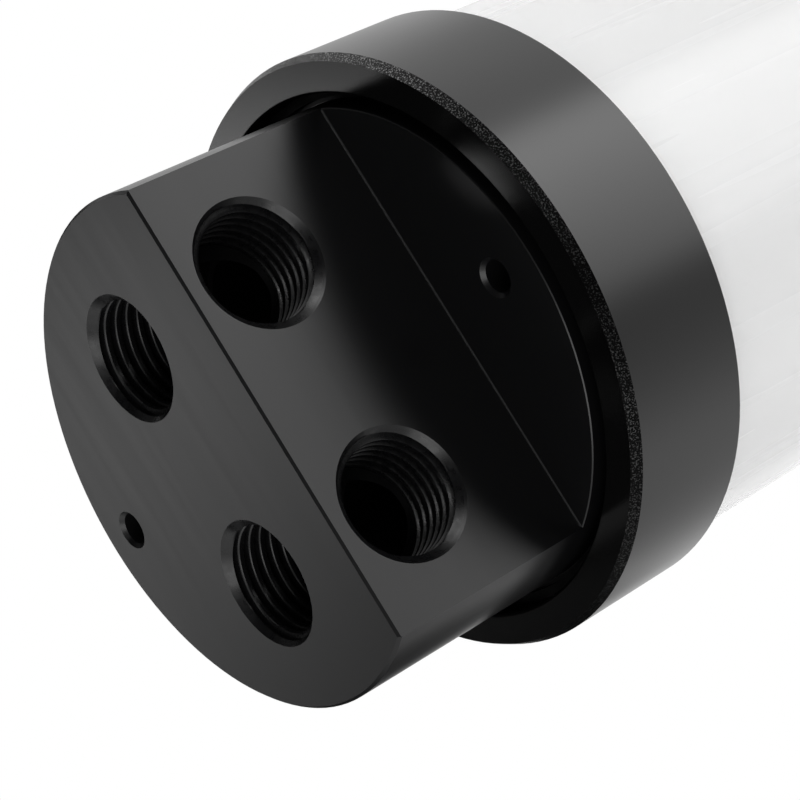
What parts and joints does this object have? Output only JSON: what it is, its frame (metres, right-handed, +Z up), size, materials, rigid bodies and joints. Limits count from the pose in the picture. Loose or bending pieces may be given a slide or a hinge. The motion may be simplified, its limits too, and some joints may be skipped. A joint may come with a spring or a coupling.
{
  "type": "water cooling reservoir",
  "caption": "Upright tube reservoir for a liquid cooling loop: ported base block, screwed end collars, opal tube, top cap with screw plugs and a riser pipe inside.",
  "frame": {"origin": "centre of the bottom end face of the port block", "axes": "+Z up along the tube, -Y out of the milled flat with the side ports"},
  "size_m": [0.0636, 0.0636, 0.2104],
  "materials": {
    "acetal_black": "machined acetal, satin with fine tool lines",
    "collar_black": "bead blasted and black anodised",
    "plug_black": "turned and black anodised",
    "tube_opal": "opal white acrylic, satin",
    "riser_clear": "extruded acrylic",
    "slip_ring": "skived carbon-filled PTFE",
    "seal": "moulded EPDM"
  },
  "bodies": {
    "reservoir": {"port_block": "acetal_black", "bottom_gasket": "seal", "bottom_spigot_seal": "seal", "reservoir_tube": "tube_opal", "top_gasket": "seal", "top_spigot_seal": "seal", "top_cap": "acetal_black", "riser_fitting": "acetal_black", "riser_fitting_seal": "seal", "riser_pipe": "riser_clear", "riser_pipe_seal": "seal", "vortex_breaker": "acetal_black"},
    "bottom_slip_ring": {"bottom_slip_ring": "slip_ring"},
    "bottom_collar": {"bottom_collar": "collar_black"},
    "top_slip_ring": {"top_slip_ring": "slip_ring"},
    "top_collar": {"top_collar": "collar_black"},
    "fill_plug_seal": {"fill_plug_seal": "seal"},
    "fill_plug": {"fill_plug": "plug_black"},
    "vent_plug_seal": {"vent_plug_seal": "seal"},
    "vent_plug": {"vent_plug": "plug_black"}
  },
  "joints": [
    {"name": "bottom_collar_travel", "type": "slide", "parent": "reservoir", "child": "bottom_slip_ring", "axis": [0, 0, -1], "range_m": [0, 0.00901]},
    {"name": "bottom_collar_turn", "type": "hinge", "parent": "bottom_slip_ring", "child": "bottom_collar", "pos_m": [0, 0, 0.03], "axis": [0, 0, -1], "range_deg": [0, 2160]},
    {"name": "top_collar_travel", "type": "slide", "parent": "reservoir", "child": "top_slip_ring", "axis": [0, 0, 1], "range_m": [0, 0.00901]},
    {"name": "top_collar_turn", "type": "hinge", "parent": "top_slip_ring", "child": "top_collar", "pos_m": [0, 0, 0.1952], "axis": [0, 0, 1], "range_deg": [0, 2160]},
    {"name": "fill_plug_travel", "type": "slide", "parent": "reservoir", "child": "fill_plug_seal", "axis": [0, 0, 1], "range_m": [0, 0.00937]},
    {"name": "fill_plug_turn", "type": "hinge", "parent": "fill_plug_seal", "child": "fill_plug", "pos_m": [-0.01265, 0, 0.2012], "axis": [0, 0, 1], "range_deg": [0, 2520]},
    {"name": "vent_plug_travel", "type": "slide", "parent": "reservoir", "child": "vent_plug_seal", "axis": [0, 0, 1], "range_m": [0, 0.00937]},
    {"name": "vent_plug_turn", "type": "hinge", "parent": "vent_plug_seal", "child": "vent_plug", "pos_m": [0.01265, 0, 0.2012], "axis": [0, 0, 1], "range_deg": [0, 2520]}
  ],
  "couplings": [
    {"joint": "bottom_collar_travel", "follows": "bottom_collar_turn", "m_per_rad": 0.00023873},
    {"joint": "top_collar_travel", "follows": "top_collar_turn", "m_per_rad": 0.00023873},
    {"joint": "fill_plug_travel", "follows": "fill_plug_turn", "m_per_rad": 0.00021279},
    {"joint": "vent_plug_travel", "follows": "vent_plug_turn", "m_per_rad": 0.00021279}
  ]
}
